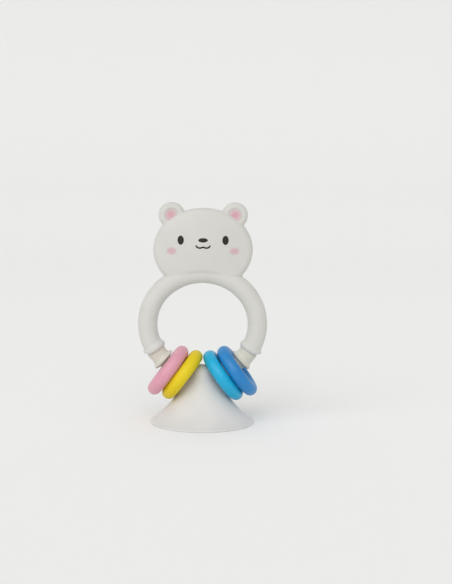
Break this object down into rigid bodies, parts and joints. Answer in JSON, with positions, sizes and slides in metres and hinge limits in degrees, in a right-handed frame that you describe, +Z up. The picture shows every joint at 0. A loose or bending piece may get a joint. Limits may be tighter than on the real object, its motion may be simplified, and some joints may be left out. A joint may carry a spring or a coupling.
{
  "type": "teething ring",
  "caption": "Bear-headed silicone teething arch, closed by a bar that carries loose rings and turns in the eyelet of a conical suction cup.",
  "frame": {"origin": "centre of the suction cup's rim, on the surface it stands on", "axes": "+Z up, +X along the bar towards the blue rings, the bear's face looks towards -Y"},
  "size_m": [0.0878, 0.0712, 0.1505],
  "materials": {
    "white_silicone": "satin",
    "cup_silicone": "satin",
    "cream_plastic": "satin",
    "dark_silicone": "satin",
    "blush_silicone": "satin",
    "ear_pink_silicone": "satin",
    "pink_silicone": "satin",
    "yellow_silicone": "satin",
    "light_blue_silicone": "satin",
    "blue_silicone": "satin"
  },
  "bodies": {
    "cup": {"suction_cup": "cup_silicone"},
    "frame": {"bear_body": "white_silicone", "left_eye": "dark_silicone", "right_eye": "dark_silicone", "nose": "dark_silicone", "mouth": "dark_silicone", "left_cheek": "blush_silicone", "right_cheek": "blush_silicone", "left_ear_inlay": "ear_pink_silicone", "right_ear_inlay": "ear_pink_silicone", "lower_bar": "cream_plastic", "left_collar": "cream_plastic", "right_collar": "cream_plastic"},
    "pink": {"pink_ring": "pink_silicone"},
    "yellow": {"yellow_ring": "yellow_silicone"},
    "light_blue": {"light_blue_ring": "light_blue_silicone"},
    "blue": {"blue_ring": "blue_silicone"}
  },
  "joints": [
    {"name": "frame_tilt", "type": "hinge", "parent": "cup", "child": "frame", "pos_m": [0, 0, 0.0336], "axis": [1, 0, 0], "range_deg": [-4, 14]},
    {"name": "pink_slide", "type": "hinge", "parent": "frame", "child": "pink", "pos_m": [0.01075, 0, 0.0655], "axis": [0, 1, 0], "range_deg": [0, 70]},
    {"name": "blue_slide", "type": "hinge", "parent": "frame", "child": "blue", "pos_m": [-0.01225, 0, 0.065], "axis": [0, -1, 0], "range_deg": [0, 70]},
    {"name": "yellow_spin", "type": "hinge", "parent": "frame", "child": "yellow", "pos_m": [-0.01355, 0, 0.03285], "axis": [0.7975, -0.0523, -0.601], "continuous": true},
    {"name": "light_blue_spin", "type": "hinge", "parent": "frame", "child": "light_blue", "pos_m": [0.0143, 0, 0.0326], "axis": [0.8006, -0.0175, 0.5989], "continuous": true}
  ]
}
